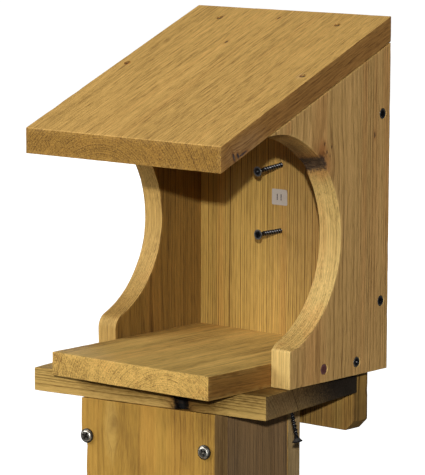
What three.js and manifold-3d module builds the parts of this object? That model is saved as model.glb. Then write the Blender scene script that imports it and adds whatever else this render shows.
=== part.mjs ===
// Open-fronted nesting shelf on a square post sleeve.
//
// The house is five 19 mm boards: a sloped roof, two sides with a round scoop cut in
// the front edge, a back board whose tail hangs below the house, and a floor that runs
// out past the sides as a landing ledge. It stands on a mounting plate, and the plate
// caps a square sleeve that drops over a nominal 4x4 post. Everything is screwed
// together. The plate and the sleeve are turned a few degrees from the house.
//
// Millimetres, +Z up, +X to the object's right, +Y to its back. The origin is in the
// middle of the bounding box's bottom face, at the open end of the sleeve.

import * as THREE from 'three';
import { mergeVertices } from 'three/addons/utils/BufferGeometryUtils.js';
import Module from 'manifold-3d';

const wasm = await Module();
wasm.setup();

// ---- Driving dimensions -----------------------------------------------------------

const BOARD = 19; // thickness of every board
const GAP = 0.3; // clearance between neighbours that a rounding error could make touch

const HOUSE_WIDTH = 200; // over the outer faces of the sides
const SIDE_DEPTH = 125; // front to back at the foot of a side
const SIDE_REAR_HEIGHT = 262; // at the rear edge, up to the underside of the roof
const ROOF_SLOPE = 22.5 * Math.PI / 180;
const ROOF_REACH = 209; // from the rear plane to the front end, measured level
const FLOOR_REACH = 200; // from the rear plane to the ledge's front end
const TAIL_DROP = 52; // back board below the floor
const TAIL_CHAMFER = 8; // cut off the tail's two lower corners

const SCOOP_CENTRE_Y = -150; // the round cut in the front edge of a side
const SCOOP_CENTRE_Z = 113;
const SCOOP_STEPS = 40; // straight cuts along the arc
const LEFT_SCOOP = { radius: 82, shoulder: 12 }; // a little tighter, and well rounded over
const RIGHT_SCOOP = { radius: 86, shoulder: 3 };
const RIGHT_SCOOP_SLANT = 3.5; // its radius grows this much from the inner to the outer face
const SLANT_FADE = 20; // behind the scoop's top, the slant takes this long to set in
const SHOULDER_STEPS = 10;

const PLATE_WIDTH = 220;
const PLATE_DEPTH = 138;
const PLATE_TURN = 7 * Math.PI / 180; // plate and sleeve, counter-clockwise from above
const PLATE_FRONT_X = -7.7; // middle of the plate's front edge, in the house's frame
const PLATE_FRONT_Y = -169.3;

const SLEEVE_OUTSIDE = 127; // square, over the boards
const SLEEVE_LENGTH = 127;

const NOTCH_TOP_RADIUS = 8.5; // fallen-out knot in the plate's front edge
const NOTCH_FOOT_RADIUS = 4;
const NOTCH_X = 32;
const NOTCH_LEAN = 15 * Math.PI / 180;

const LABEL_WIDTH = 16; // paper sticker on the back board
const LABEL_HEIGHT = 13;
const LABEL_THICKNESS = 0.4;
const LABEL_X = 3.5;
const LABEL_Z = 132;

// Where a screw was driven too near the sleeve front board's left edge, a
// sliver has split away: widest below the screw, running out down the grain.
const SPLIT_WIDTH = 4.5;
const SPLIT_DEPTH = 12;
const SPLIT_LENGTH = 84;

// Flat-headed wood screws, small trim-headed ones in the roof, and pan-headed sleeve
// screws. A screw's own frame has the top of its head at the origin and its shank
// along -Z. The recess is the cross in the head, tip to tip.
const FLAT_HEAD = { headRadius: 4.1, rim: 0.5, headHeight: 2.9, shankRadius: 1.9, recess: 4.4 };
const TRIM_HEAD = { headRadius: 2.2, rim: 0.4, headHeight: 2.2, shankRadius: 1.5, recess: 2.4 };
const PAN_HEAD = {
  pan: true, headRadius: 5.8, rim: 1.6, headHeight: 3.2, shankRadius: 2.1, recess: 4.4,
};
const PAN_FLAT = 0.72; // the flat of a pan head, as a share of its radius
const SCREW_LENGTH = 41; // most of the wood screws
const SHORT_SCREW_LENGTH = 38; // those that would otherwise come out of a board
const STARTED_SCREW_LENGTH = 46; // the three that are only started
const POINT_LENGTH = 6;
const RECESS_ARM = 0.23; // width of the cross's arms, as a share of its span
const RECESS_DEPTH = 1.6;
const SUNK = 0.4; // a driven flat head sits this far under the surface
const TRIM_SUNK = 1.2;
const HOLE_ABOVE = 4; // how far a hole's cutter runs on above the head
const ROUND_STEPS = 16;

// Where the screws are. Heights and depths are in the house's frame, or along the
// plate's front edge for those in the plate and the sleeve.
const ROOF_FRONT_SCREW_Y = -100;
const ROOF_REAR_SCREW_X = 61;
const ROOF_REAR_SCREW_Y = -19;
const BACK_SCREW_Z = { upper: 206, lower: 56 };
const FLOOR_SCREW_Y = { front: -82, rear: -40 };
const FLOOR_SCREW_Z = 10.5;
const WALL_SCREW_UPPER = [4.2, -49, 155.6];
const WALL_SCREW_LOWER = [3.8, -47.5, 104.2];
const WALL_SCREW_DROOP = 5 * Math.PI / 180; // the upper one's head hangs down a little
const PLATE_SCREW_X = 90.5;
const PLATE_SCREW_Y = -111;
const PLATE_SCREW_OUT = 24.5; // how far the right one's head hangs below the plate
const PLATE_SCREW_LEAN = [0.155, 0.13]; // its head's drift to the right and back, per mm
const CAP_SCREW_X = 50;
const SLEEVE_SCREW_X = { left: -57, right: 54.5 };
const SLEEVE_SCREW_Z = -50;

// ---- Sizes that follow --------------------------------------------------------------

const INSIDE = HOUSE_WIDTH / 2 - BOARD; // house's middle plane to a side's inner face
const SLOPE = Math.tan(ROOF_SLOPE);
const ROOF_PLUMB = BOARD / Math.cos(ROOF_SLOPE); // roof's thickness measured upright
const PLATE_TOP = -GAP;
const SLEEVE_TOP = PLATE_TOP - BOARD - GAP;
const SLEEVE_FOOT = SLEEVE_TOP - SLEEVE_LENGTH;

// Underside of the roof over a point y behind (or in front of) the rear plane.
const roofHeight = (y) => SIDE_REAR_HEIGHT + y * SLOPE;

// ---- Materials ----------------------------------------------------------------------

function material(color, roughness, metalness = 0) {
  return new THREE.MeshStandardMaterial({ color, roughness, metalness });
}

const CEDAR = { color: 0xb88a4a, roughness: 0.75 };
const CEDAR_DARK = { color: 0x9a7442, roughness: 0.8 };
const BLACK_STEEL = { color: 0x1d1b1a, roughness: 0.45, metalness: 0.8 };
const BRIGHT_STEEL = { color: 0x4a443c, roughness: 0.3, metalness: 0.9 };
const PAPER = { color: 0xd8d4cc, roughness: 0.9 };

// ---- Solids ---------------------------------------------------------------------------

// A closed mesh as a manifold solid: shared vertices merged, collapsed triangles out.
function toSolid(geometry) {
  const bare = geometry.clone();
  bare.deleteAttribute('normal');
  bare.deleteAttribute('uv');
  const merged = mergeVertices(bare, 1e-4);
  const index = merged.index.array;
  const kept = [];
  for (let i = 0; i < index.length; i += 3) {
    const [a, b, c] = [index[i], index[i + 1], index[i + 2]];
    if (a !== b && b !== c && c !== a) kept.push(a, b, c);
  }
  return new wasm.Manifold(new wasm.Mesh({
    numProp: 3,
    vertProperties: merged.attributes.position.array,
    triVerts: Uint32Array.from(kept),
  }));
}

function fromSolid(solid) {
  const mesh = solid.getMesh();
  const geometry = new THREE.BufferGeometry();
  geometry.setAttribute('position', new THREE.BufferAttribute(mesh.vertProperties, 3));
  geometry.setIndex(new THREE.BufferAttribute(mesh.triVerts, 1));
  geometry.computeVertexNormals();
  return geometry;
}

function subtract(geometry, ...cutters) {
  let solid = toSolid(geometry);
  for (const cutter of cutters) solid = solid.subtract(toSolid(cutter));
  return fromSolid(solid);
}

// A plank cut to an outline, as thick as a board. The outline is drawn in (u, v) and
// the thickness runs along +w.
function plank(outline, thickness = BOARD) {
  const shape = new THREE.Shape(outline.map(([u, v]) => new THREE.Vector2(u, v)));
  return new THREE.ExtrudeGeometry(shape, { depth: thickness, bevelEnabled: false });
}

// The same plank with its outline in (y, z) and its thickness along +X from x = 0.
function uprightPlank(outline, thickness = BOARD) {
  const turn = new THREE.Matrix4().makeBasis(
    new THREE.Vector3(0, 1, 0),
    new THREE.Vector3(0, 0, 1),
    new THREE.Vector3(1, 0, 0),
  );
  return plank(outline, thickness).applyMatrix4(turn);
}

// A box from its lowest corner.
function boxFrom(width, depth, height) {
  return new THREE.BoxGeometry(width, depth, height).translate(width / 2, depth / 2, height / 2);
}

// ---- Screws -----------------------------------------------------------------------------

function turned(profile) {
  const points = profile.map(([radius, height]) => new THREE.Vector2(radius, height));
  return new THREE.LatheGeometry(points, ROUND_STEPS).rotateX(Math.PI / 2);
}

// Half the outline of a screw's head, from its underside to the middle of its top.
function headProfile({ pan, headRadius, rim, headHeight, shankRadius }) {
  if (!pan) return [[shankRadius, -headHeight], [headRadius, -rim], [headRadius, 0], [0, 0]];
  return [
    [shankRadius, -headHeight],
    [headRadius, -headHeight],
    [headRadius, -headHeight + rim],
    [headRadius * PAN_FLAT, 0],
    [0, 0],
  ];
}

function screwGeometry(type, length) {
  const tip = [[0, -length], [type.shankRadius, -length + POINT_LENGTH]];
  const arm = type.recess * RECESS_ARM;
  const arms = [[type.recess, arm], [arm, type.recess]].map(([x, y]) =>
    new THREE.BoxGeometry(x, y, 2 * RECESS_DEPTH));
  return subtract(turned([...tip, ...headProfile(type)]), ...arms);
}

// What a board loses to a screw: the screw's own shape plus clearance, open above the
// head. A pan head sits on the wood, so it needs only the hole for its shank.
function screwHole(type, length) {
  const shank = type.shankRadius + GAP;
  const head = type.headRadius + GAP;
  const tip = [[0, -length - GAP], [shank, -length - GAP + POINT_LENGTH]];
  if (type.pan) return turned([...tip, [shank, HOLE_ABOVE], [0, HOLE_ABOVE]]);
  return turned([
    ...tip,
    [shank, -type.headHeight],
    [head, -type.rim],
    [head, HOLE_ABOVE],
    [0, HOLE_ABOVE],
  ]);
}

// ---- The assembly -------------------------------------------------------------------------

const birdhouse = new THREE.Group();
const house = new THREE.Group();
const base = new THREE.Group(); // plate and sleeve, x along the plate's front edge
base.position.set(PLATE_FRONT_X, PLATE_FRONT_Y, 0);
base.rotation.z = PLATE_TURN;
house.add(base);
birdhouse.add(house);

function add(parent, name, geometry, look, position = [0, 0, 0]) {
  const mesh = new THREE.Mesh(geometry, material(look.color, look.roughness, look.metalness));
  mesh.name = name;
  mesh.position.set(...position);
  parent.add(mesh);
  return mesh;
}

// Roof: both ends cut plumb, flush with the sides and with the rear plane.
const roofLift = GAP / Math.cos(ROOF_SLOPE);
add(house, 'roof_board', uprightPlank([
  [-ROOF_REACH, roofHeight(-ROOF_REACH)],
  [0, roofHeight(0)],
  [0, roofHeight(0) + ROOF_PLUMB],
  [-ROOF_REACH, roofHeight(-ROOF_REACH) + ROOF_PLUMB],
], HOUSE_WIDTH), CEDAR, [-HOUSE_WIDTH / 2, 0, roofLift]);

// Points along an arc in the plane of a side, as [y, z].
function sideArc([y, z], radius, from, to, steps) {
  const points = [];
  for (let i = 0; i <= steps; i++) {
    const angle = from + (to - from) * i / steps;
    points.push([y + radius * Math.cos(angle), z + radius * Math.sin(angle)]);
  }
  return points;
}

// Sides: above the straight foot of the front edge, a shoulder rounds over into the scoop,
// which runs out into the underside of the roof.
function sideOutline({ radius, shoulder }) {
  const shoulderY = -SIDE_DEPTH + shoulder;
  const turn = Math.acos((shoulderY - SCOOP_CENTRE_Y) / (radius + shoulder));
  const shoulderZ = SCOOP_CENTRE_Z - (radius + shoulder) * Math.sin(turn);
  const scoopTop = SCOOP_CENTRE_Z + radius;
  const toe = [(scoopTop - SIDE_REAR_HEIGHT) / SLOPE, scoopTop];
  const scoop = sideArc(
    [SCOOP_CENTRE_Y, SCOOP_CENTRE_Z], radius, Math.PI / 2, -turn, SCOOP_STEPS);
  const over = sideArc(
    [shoulderY, shoulderZ], shoulder, Math.PI - turn, Math.PI, SHOULDER_STEPS);
  return [
    [0, 0], [0, SIDE_REAR_HEIGHT], toe, ...scoop, ...over.slice(1), [-SIDE_DEPTH, 0],
  ];
}

// The saw leaned in the right side, so its scoop is wider at the outer face, but not at
// its top, where it runs out under the roof.
function slantScoop(geometry, radius, slant) {
  const points = geometry.attributes.position;
  for (let i = 0; i < points.count; i++) {
    const y = points.getY(i) - SCOOP_CENTRE_Y;
    const z = points.getZ(i) - SCOOP_CENTRE_Z;
    if (Math.abs(Math.hypot(y, z) - radius) < 0.01) {
      const lean = slant * Math.min(1, Math.max(0, y / SLANT_FADE));
      const scale = 1 + lean * (points.getX(i) / BOARD - 0.5) / radius;
      points.setY(i, SCOOP_CENTRE_Y + y * scale);
      points.setZ(i, SCOOP_CENTRE_Z + z * scale);
    }
  }
  return geometry;
}

add(house, 'left_side', uprightPlank(sideOutline(LEFT_SCOOP)), CEDAR,
  [-HOUSE_WIDTH / 2, 0, 0]);
const rightSide = slantScoop(
  uprightPlank(sideOutline(RIGHT_SCOOP)), RIGHT_SCOOP.radius, RIGHT_SCOOP_SLANT);
add(house, 'right_side', rightSide, CEDAR, [INSIDE, 0, 0]);

// Back board: between the sides, its top bevelled to the roof, its tail chamfered.
function backBoard() {
  const outline = [
    [-INSIDE, -TAIL_DROP + TAIL_CHAMFER],
    [-INSIDE + TAIL_CHAMFER, -TAIL_DROP],
    [INSIDE - TAIL_CHAMFER, -TAIL_DROP],
    [INSIDE, -TAIL_DROP + TAIL_CHAMFER],
    [INSIDE, SIDE_REAR_HEIGHT],
    [-INSIDE, SIDE_REAR_HEIGHT],
  ];
  const board = plank(outline).rotateX(Math.PI / 2);
  const aboveRoofLine = uprightPlank([
    [-2 * BOARD, roofHeight(-2 * BOARD)],
    [BOARD, roofHeight(BOARD)],
    [BOARD, roofHeight(BOARD) + 2 * BOARD],
    [-2 * BOARD, roofHeight(BOARD) + 2 * BOARD],
  ], 2 * HOUSE_WIDTH).translate(-HOUSE_WIDTH, 0, 0);
  return subtract(board, aboveRoofLine);
}
add(house, 'back_board', backBoard(), CEDAR);

add(house, 'floor_board', boxFrom(2 * INSIDE, FLOOR_REACH - BOARD, BOARD), CEDAR,
  [-INSIDE, -FLOOR_REACH, 0]);

// Mounting plate, with a fallen-out knot in its front edge.
const notch = new THREE.CylinderGeometry(
  NOTCH_TOP_RADIUS, NOTCH_FOOT_RADIUS, 2 * BOARD, ROUND_STEPS)
  .rotateX(Math.PI / 2)
  .rotateY(-NOTCH_LEAN)
  .translate(PLATE_WIDTH / 2 + NOTCH_X, 0, BOARD / 2);
add(base, 'mounting_plate', subtract(boxFrom(PLATE_WIDTH, PLATE_DEPTH, BOARD), notch),
  CEDAR_DARK, [-PLATE_WIDTH / 2, 0, PLATE_TOP - BOARD]);

// Sleeve: front and rear boards lap the ends of the two side boards.
const sleeveHalf = SLEEVE_OUTSIDE / 2;
const sleeveInside = SLEEVE_OUTSIDE - 2 * BOARD;
const sleeveFrontBoard = boxFrom(SLEEVE_OUTSIDE, BOARD, SLEEVE_LENGTH);

// The split: a straight-grained sliver out of the front board's left front arris.
const splitTop = SLEEVE_SCREW_Z + PAN_HEAD.headRadius / 2 - SLEEVE_FOOT;
const sliver = plank([
  [-1, splitTop + 1],
  [SPLIT_WIDTH * 0.5, splitTop],
  [SPLIT_WIDTH, splitTop - 5],
  [SPLIT_WIDTH, splitTop - SPLIT_LENGTH * 0.4],
  [-1, splitTop - SPLIT_LENGTH],
], SPLIT_DEPTH + 1)
  .rotateX(Math.PI / 2)
  .translate(0, SPLIT_DEPTH, 0);
add(base, 'sleeve_front_board', subtract(sleeveFrontBoard, sliver), CEDAR,
  [-sleeveHalf, 0, SLEEVE_FOOT]);
add(base, 'sleeve_rear_board', sleeveFrontBoard.clone(), CEDAR,
  [-sleeveHalf, SLEEVE_OUTSIDE - BOARD, SLEEVE_FOOT]);
const sleeveSideBoard = boxFrom(BOARD, sleeveInside - 2 * GAP, SLEEVE_LENGTH);
add(base, 'sleeve_left_board', sleeveSideBoard, CEDAR_DARK,
  [-sleeveHalf, BOARD + GAP, SLEEVE_FOOT]);
add(base, 'sleeve_right_board', sleeveSideBoard.clone(), CEDAR_DARK,
  [sleeveHalf - BOARD, BOARD + GAP, SLEEVE_FOOT]);

add(house, 'number_label', boxFrom(LABEL_WIDTH, LABEL_THICKNESS, LABEL_HEIGHT), PAPER,
  [LABEL_X - LABEL_WIDTH / 2, -BOARD - GAP - LABEL_THICKNESS, LABEL_Z - LABEL_HEIGHT / 2]);

// ---- Fasteners ------------------------------------------------------------------------------

// Each screw: its name, the group it is placed in, where its head's top is, the way its
// shank points, and the boards it passes through.
const screws = [];

function screw(parent, name, at, along, boards, options = {}) {
  screws.push({ parent, name, at, along, boards, type: FLAT_HEAD, length: SCREW_LENGTH, ...options });
}

const sides = [['left', -1], ['right', 1]];
const half = HOUSE_WIDTH / 2;

// Roof into the sides, and roof into the back board's top end.
const intoRoof = [0, Math.sin(ROOF_SLOPE), -Math.cos(ROOF_SLOPE)];
const roofTop = (y) => roofHeight(y) + ROOF_PLUMB + roofLift - TRIM_SUNK;
for (const [word, sign] of sides) {
  screw(house, `roof_screw_${word}_front`,
    [sign * (half - BOARD / 2), ROOF_FRONT_SCREW_Y, roofTop(ROOF_FRONT_SCREW_Y)],
    intoRoof, ['roof_board', `${word}_side`], { type: TRIM_HEAD });
  screw(house, `roof_screw_${word}_rear`,
    [sign * ROOF_REAR_SCREW_X, ROOF_REAR_SCREW_Y, roofTop(ROOF_REAR_SCREW_Y)],
    intoRoof, ['roof_board', 'back_board'], { type: TRIM_HEAD, length: SHORT_SCREW_LENGTH });
}

// Sides into the back board's edges and into the floor's edges.
for (const [word, sign] of sides) {
  const face = sign * (half - SUNK);
  const inward = [-sign, 0, 0];
  for (const [end, z] of Object.entries(BACK_SCREW_Z)) {
    screw(house, `${word}_back_screw_${end}`, [face, -BOARD / 2, z], inward,
      [`${word}_side`, 'back_board']);
  }
  for (const [end, y] of Object.entries(FLOOR_SCREW_Y)) {
    screw(house, `${word}_floor_screw_${end}`, [face, y, FLOOR_SCREW_Z], inward,
      [`${word}_side`, 'floor_board']);
  }
}

// Wall screws, started in the back board and left standing out into the nest space.
const started = { length: STARTED_SCREW_LENGTH };
const droop = [0, Math.cos(WALL_SCREW_DROOP), Math.sin(WALL_SCREW_DROOP)];
screw(house, 'wall_screw_upper', WALL_SCREW_UPPER, droop, ['back_board'], started);
screw(house, 'wall_screw_lower', WALL_SCREW_LOWER, [0, 1, 0], ['back_board'], started);

// Plate up into the feet of the sides: the left one is driven home, the right one is
// only started and leans.
const underPlate = PLATE_TOP - BOARD;
const [leanRight, leanBack] = PLATE_SCREW_LEAN;
screw(house, 'plate_screw_left', [-PLATE_SCREW_X, PLATE_SCREW_Y, underPlate + SUNK],
  [0, 0, 1], ['mounting_plate', 'left_side']);
screw(house, 'plate_screw_right', [
  PLATE_SCREW_X + PLATE_SCREW_OUT * leanRight,
  PLATE_SCREW_Y + PLATE_SCREW_OUT * leanBack,
  underPlate - PLATE_SCREW_OUT,
], [-leanRight, -leanBack, 1], ['mounting_plate', 'right_side'], started);

// Plate down into the top ends of the sleeve's front and rear boards.
for (const [word, sign] of sides) {
  for (const [end, y] of [['front', BOARD / 2], ['rear', SLEEVE_OUTSIDE - BOARD / 2]]) {
    screw(base, `cap_screw_${word}_${end}`, [sign * CAP_SCREW_X, y, PLATE_TOP - SUNK],
      [0, 0, -1], ['mounting_plate', `sleeve_${end}_board`]);
  }
}

// Sleeve's front and rear boards into the ends of its side boards, in two rows as far
// from the sleeve's foot as from its top.
const panHead = { type: PAN_HEAD, length: SHORT_SCREW_LENGTH };
const proud = GAP + PAN_HEAD.headHeight;
const rows = [['upper', SLEEVE_SCREW_Z], ['lower', SLEEVE_FOOT + SLEEVE_TOP - SLEEVE_SCREW_Z]];
for (const [row, z] of rows) {
  for (const [word, sign] of sides) {
    screw(base, `sleeve_front_screw_${word}_${row}`, [SLEEVE_SCREW_X[word], -proud, z],
      [0, 1, 0], ['sleeve_front_board', `sleeve_${word}_board`], panHead);
    screw(base, `sleeve_rear_screw_${word}_${row}`,
      [sign * SLEEVE_SCREW_X.right, SLEEVE_OUTSIDE + proud, z],
      [0, -1, 0], ['sleeve_rear_board', `sleeve_${word}_board`], panHead);
  }
}

const downShank = new THREE.Vector3(0, 0, -1);
for (const s of screws) {
  const mesh = add(s.parent, s.name, screwGeometry(s.type, s.length),
    s.type.pan ? BRIGHT_STEEL : BLACK_STEEL, s.at);
  const along = new THREE.Vector3(...s.along).normalize();
  mesh.quaternion.setFromUnitVectors(downShank, along);
  s.mesh = mesh;
}

// Bore each board for the screws that pass through it.
birdhouse.updateMatrixWorld(true);
for (const s of screws) {
  for (const name of s.boards) {
    const board = birdhouse.getObjectByName(name);
    const toBoard = board.matrixWorld.clone().invert().multiply(s.mesh.matrixWorld);
    const hole = screwHole(s.type, s.length).applyMatrix4(toBoard);
    board.geometry = subtract(board.geometry, hole);
  }
}

// Stand the sleeve's foot on z = 0 with the bounding box's middle over the origin.
const box = new THREE.Box3().setFromObject(birdhouse);
const middle = box.getCenter(new THREE.Vector3());
house.position.set(-middle.x, -middle.y, -box.min.z);

export default birdhouse;
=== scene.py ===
# Looks for an open-fronted nesting shelf of cedar boards on a square post sleeve.
#
# Every board is built again as a finely divided block with eased, worn arrises and real
# screw holes, and every screw with its thread and cross recess. The wood is a solid
# texture: growth rings round a pith, fibres and knots, in each board's own axes.

import math
import random

import bmesh
import bpy
import numpy as np
from mathutils import Euler, Matrix, Vector


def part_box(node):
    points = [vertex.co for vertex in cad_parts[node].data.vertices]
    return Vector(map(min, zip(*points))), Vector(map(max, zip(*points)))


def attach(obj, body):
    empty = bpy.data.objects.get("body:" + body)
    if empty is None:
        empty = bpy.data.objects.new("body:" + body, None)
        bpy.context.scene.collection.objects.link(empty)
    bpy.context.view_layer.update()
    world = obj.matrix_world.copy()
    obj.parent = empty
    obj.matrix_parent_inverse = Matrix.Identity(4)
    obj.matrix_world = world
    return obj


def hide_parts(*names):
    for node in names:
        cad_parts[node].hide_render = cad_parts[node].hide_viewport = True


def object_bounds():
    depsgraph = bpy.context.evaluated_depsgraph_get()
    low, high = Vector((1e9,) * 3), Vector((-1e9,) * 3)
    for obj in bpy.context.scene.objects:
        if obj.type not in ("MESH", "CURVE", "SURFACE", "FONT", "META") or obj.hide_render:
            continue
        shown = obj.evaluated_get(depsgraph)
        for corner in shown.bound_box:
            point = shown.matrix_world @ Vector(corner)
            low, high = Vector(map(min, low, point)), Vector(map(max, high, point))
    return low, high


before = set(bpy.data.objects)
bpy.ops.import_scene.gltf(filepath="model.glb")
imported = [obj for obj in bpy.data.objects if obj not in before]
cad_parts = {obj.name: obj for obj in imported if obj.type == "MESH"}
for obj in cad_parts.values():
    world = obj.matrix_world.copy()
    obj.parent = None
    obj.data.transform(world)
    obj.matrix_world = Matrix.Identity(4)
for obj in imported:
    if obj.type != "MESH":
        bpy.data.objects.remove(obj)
cad_low, cad_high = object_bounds()

# ---- Driving sizes, in millimetres ------------------------------------------------------

MM = 0.001
BOARD = 19.0
ROOF_SLOPE = math.radians(22.5)
PLATE_TURN = math.radians(7)
SIDE_DEPTH = 125.0
SCOOPS = {"left": (82.0, 12.0, 0.0), "right": (86.0, 3.0, 3.5)}  # radius, shoulder, slant
SHOULDER_STEPS = 6
SLANT_FADE = 20.0  # behind the scoop's top, the slant takes this long to set in
SCOOP_FROM_REAR = 150.0  # scoop's centre, in front of the rear plane
SCOOP_HEIGHT = 113.0  # scoop's centre, above the foot of the side
TAIL_CHAMFER = 8.0
PLATE_LENGTH = 220.0
PLATE_DEPTH = 138.0
NOTCH_Z = 142.0  # fallen-out knot, from the plate's left end
NOTCH_RADIUS = 8.5
NOTCH_FOOT_RADIUS = 4.0
NOTCH_LEAN = math.radians(15)
SLEEVE_WIDTH = 127.0
SLEEVE_GAP = 0.3  # between the front or rear board and the two side boards
SPLIT_WIDTH = 5.2
SPLIT_DEPTH = 12.0
SPLIT_TOP = 99.5  # above the sleeve's foot
SPLIT_LENGTH = 84.0
WALL_SCREW_DROOP = math.radians(5)
PLATE_SCREW_LEAN = (-0.155, -0.13)

CELL = 5.0  # size of the facets on a board's faces
EASE = 0.75  # radius of the arrises
HOLLOW = 0.1  # how far a board's faces have sunk at most
WEAR = 0.14  # how much further its arrises have
SHARP = math.radians(25)

HOLE_ROUND = 0.25  # clearance round a sunk head
CLEARANCE = 0.15  # round a shank
HOLE_SIDES = 24
NOTCH_BUMPS = 16
NOTCH_STEPS = 12
SPLIT_STEPS = 22


# ---- Camera, floor and lights ------------------------------------------------------------

CAMERA_AT = Vector((1.52426, -1.78506, 0.58969))
CAMERA_AZIMUTH = math.radians(40.118)
CAMERA_DOWN = math.radians(8.170)
CAMERA_ROLL = math.radians(0.258)
CAMERA_LENS = 225.57

AMBIENT = 0.04
KEY_POWER = 262.0
SOFT_POWER = 41.0
REAR_POWER = 30.0
FLOOR_REACH = 30.0


def direction(azimuth, elevation):
    """Unit vector towards a place at that azimuth from the front and that elevation."""
    a, e = math.radians(azimuth), math.radians(elevation)
    return Vector((math.sin(a) * math.cos(e), -math.cos(a) * math.cos(e), math.sin(e)))


def make_camera():
    data = bpy.data.cameras.new("camera")
    data.lens = CAMERA_LENS
    data.sensor_width = 36.0
    data.clip_end = 100.0
    camera = bpy.data.objects.new("camera", data)
    bpy.context.scene.collection.objects.link(camera)
    turn = Euler((math.pi / 2 - CAMERA_DOWN, 0, CAMERA_AZIMUTH)).to_matrix()
    roll = Matrix.Rotation(CAMERA_ROLL, 3, "Z")
    camera.matrix_world = Matrix.Translation(CAMERA_AT) @ (turn @ roll).to_4x4()
    bpy.context.scene.camera = camera


def make_light(name, azimuth, elevation, distance, size, power, aim_height=0.5):
    """A round soft light aimed at the object's middle, at that share of its height."""
    data = bpy.data.lights.new(name, "AREA")
    data.shape = "DISK"
    data.size = size
    data.energy = power
    light = bpy.data.objects.new(name, data)
    bpy.context.scene.collection.objects.link(light)
    aim = (cad_low + cad_high) / 2
    aim.z = cad_low.z + (cad_high.z - cad_low.z) * aim_height
    back = direction(azimuth, elevation)
    light.location = aim + back * distance
    light.rotation_euler = back.to_track_quat("Z", "Y").to_euler()


def white_for_camera(tree, plain, seen):
    """Mixes two surfaces or backgrounds: plain for light, seen for the camera."""
    path = tree.nodes.new("ShaderNodeLightPath")
    mix = tree.nodes.new("ShaderNodeMixShader")
    tree.links.new(path.outputs["Is Camera Ray"], mix.inputs[0])
    tree.links.new(plain.outputs[0], mix.inputs[1])
    tree.links.new(seen.outputs[0], mix.inputs[2])
    return mix


def make_world():
    """White to the camera, dim and a little blue to everything else."""
    world = bpy.data.worlds.new("studio")
    bpy.context.scene.world = world
    world.use_nodes = True
    tree = world.node_tree
    tree.nodes.clear()
    dim = tree.nodes.new("ShaderNodeBackground")
    dim.inputs["Strength"].default_value = AMBIENT
    white = tree.nodes.new("ShaderNodeBackground")
    white.inputs["Color"].default_value = (1, 1, 1, 1)
    mix = white_for_camera(tree, dim, white)
    dim.inputs["Color"].default_value = (0.88, 1.0, 1.2, 1)
    out = tree.nodes.new("ShaderNodeOutputWorld")
    tree.links.new(mix.outputs[0], out.inputs["Surface"])


def pale_floor():
    """White to the camera but for shadows, and a dull grey to everything else."""
    material = bpy.data.materials.new("pale_floor")
    material.use_nodes = True
    tree = material.node_tree
    tree.nodes.clear()
    plain = tree.nodes.new("ShaderNodeBsdfDiffuse")
    plain.inputs["Color"].default_value = (0.16, 0.16, 0.16, 1)
    shaded = tree.nodes.new("ShaderNodeBsdfDiffuse")
    shaded.inputs["Color"].default_value = (0.42, 0.42, 0.42, 1)
    glow = tree.nodes.new("ShaderNodeEmission")
    glow.inputs["Strength"].default_value = 1.0
    both = tree.nodes.new("ShaderNodeAddShader")
    tree.links.new(shaded.outputs[0], both.inputs[0])
    tree.links.new(glow.outputs[0], both.inputs[1])
    mix = white_for_camera(tree, plain, both)
    out = tree.nodes.new("ShaderNodeOutputMaterial")
    tree.links.new(mix.outputs[0], out.inputs["Surface"])
    return material


def make_ground():
    mesh = bpy.data.meshes.new("floor")
    reach = FLOOR_REACH
    corners = [(-reach, -reach, 0), (reach, -reach, 0), (reach, reach, 0), (-reach, reach, 0)]
    mesh.from_pydata(corners, [], [(0, 1, 2, 3)])
    floor = bpy.data.objects.new("floor", mesh)
    bpy.context.scene.collection.objects.link(floor)
    mesh.materials.append(pale_floor())


def make_lights():
    make_light("key", 39.2, 12.8, distance=6, size=0.13, power=KEY_POWER, aim_height=0.7)
    make_light("softbox", -38, 30, distance=2.6, size=1.9, power=SOFT_POWER)
    make_light("rear_fill", 205, 14, distance=2.8, size=1.4, power=REAR_POWER)
    bpy.context.scene.view_settings.view_transform = "Standard"


make_camera()
make_world()
make_ground()
make_lights()


# ---- Node trees ---------------------------------------------------------------------------


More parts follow.
